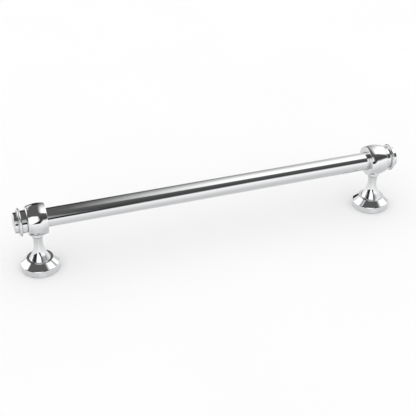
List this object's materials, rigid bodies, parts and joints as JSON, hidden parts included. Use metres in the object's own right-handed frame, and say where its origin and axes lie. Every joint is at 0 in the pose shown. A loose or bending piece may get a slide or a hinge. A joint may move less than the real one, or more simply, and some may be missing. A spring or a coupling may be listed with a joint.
{
  "type": "grab bar",
  "caption": "Straight round chrome grab bar on two turned trumpet posts, with barrel collars, stepped end finials and conical covers over concealed screw brackets.",
  "frame": {"origin": "on the wall plane, midway between the two posts", "axes": "+X along the bar, +Z out of the wall, +Y towards the floor when the bar is hung level"},
  "size_m": [0.6854, 0.065, 0.1225],
  "materials": {
    "chrome": "polished chrome plate",
    "turned_steel": "turned, unplated",
    "threaded_steel": "rolled thread, oiled",
    "bracket_steel": "satin, turned face",
    "nylon": "natural nylon",
    "rubber": "matt black"
  },
  "bodies": {
    "bar": {"grip_tube": "chrome", "left_tube_plug": "turned_steel", "left_finial_stud": "threaded_steel", "right_tube_plug": "turned_steel", "right_finial_stud": "threaded_steel"},
    "left_post": {"left_collar": "chrome", "left_neck_ring": "chrome", "left_post_stud": "threaded_steel", "left_post": "chrome", "left_rose_o_ring": "rubber", "left_wall_bracket": "bracket_steel"},
    "left_rose": {"left_rose": "chrome"},
    "left_finial_seat": {"left_finial_washer": "nylon"},
    "left_finial": {"left_finial": "chrome"},
    "left_hub_screw": {"left_hub_grub_screw": "threaded_steel"},
    "left_collar_screw": {"left_collar_grub_screw": "threaded_steel"},
    "right_post": {"right_collar": "chrome", "right_neck_ring": "chrome", "right_post_stud": "threaded_steel", "right_post": "chrome", "right_rose_o_ring": "rubber", "right_wall_bracket": "bracket_steel"},
    "right_rose": {"right_rose": "chrome"},
    "right_finial_seat": {"right_finial_washer": "nylon"},
    "right_finial": {"right_finial": "chrome"},
    "right_hub_screw": {"right_hub_grub_screw": "threaded_steel"},
    "right_collar_screw": {"right_collar_grub_screw": "threaded_steel"}
  },
  "joints": [
    {"name": "left_post_swivel", "type": "hinge", "parent": "bar", "child": "left_post", "pos_m": [-0.305, 0, 0.095], "axis": [1, 0, 0], "continuous": true},
    {"name": "left_rose_lift", "type": "slide", "parent": "left_post", "child": "left_rose", "axis": [0, 0, 1], "range_m": [0, 0.052]},
    {"name": "left_finial_travel", "type": "slide", "parent": "bar", "child": "left_finial_seat", "axis": [-1, 0, 0], "range_m": [0, 0.0106]},
    {"name": "left_finial_turn", "type": "hinge", "parent": "left_finial_seat", "child": "left_finial", "pos_m": [-0.305, 0, 0.095], "axis": [-1, 0, 0], "range_deg": [0, 2520]},
    {"name": "left_hub_screw_travel", "type": "slide", "parent": "left_post", "child": "left_hub_screw", "axis": [0, 1, 0], "range_m": [0, 0.002]},
    {"name": "left_collar_screw_travel", "type": "slide", "parent": "left_post", "child": "left_collar_screw", "axis": [0, 1, 0], "range_m": [0, 0.0025]},
    {"name": "right_post_swivel", "type": "hinge", "parent": "bar", "child": "right_post", "pos_m": [0.305, 0, 0.095], "axis": [1, 0, 0], "continuous": true},
    {"name": "right_rose_lift", "type": "slide", "parent": "right_post", "child": "right_rose", "axis": [0, 0, 1], "range_m": [0, 0.052]},
    {"name": "right_finial_travel", "type": "slide", "parent": "bar", "child": "right_finial_seat", "axis": [1, 0, 0], "range_m": [0, 0.0106]},
    {"name": "right_finial_turn", "type": "hinge", "parent": "right_finial_seat", "child": "right_finial", "pos_m": [0.305, 0, 0.095], "axis": [1, 0, 0], "range_deg": [0, 2520]},
    {"name": "right_hub_screw_travel", "type": "slide", "parent": "right_post", "child": "right_hub_screw", "axis": [0, 1, 0], "range_m": [0, 0.002]},
    {"name": "right_collar_screw_travel", "type": "slide", "parent": "right_post", "child": "right_collar_screw", "axis": [0, 1, 0], "range_m": [0, 0.0025]}
  ],
  "couplings": [
    {"joint": "left_finial_travel", "follows": "left_finial_turn", "m_per_rad": 0.00023873},
    {"joint": "right_finial_travel", "follows": "right_finial_turn", "m_per_rad": 0.00023873}
  ]
}
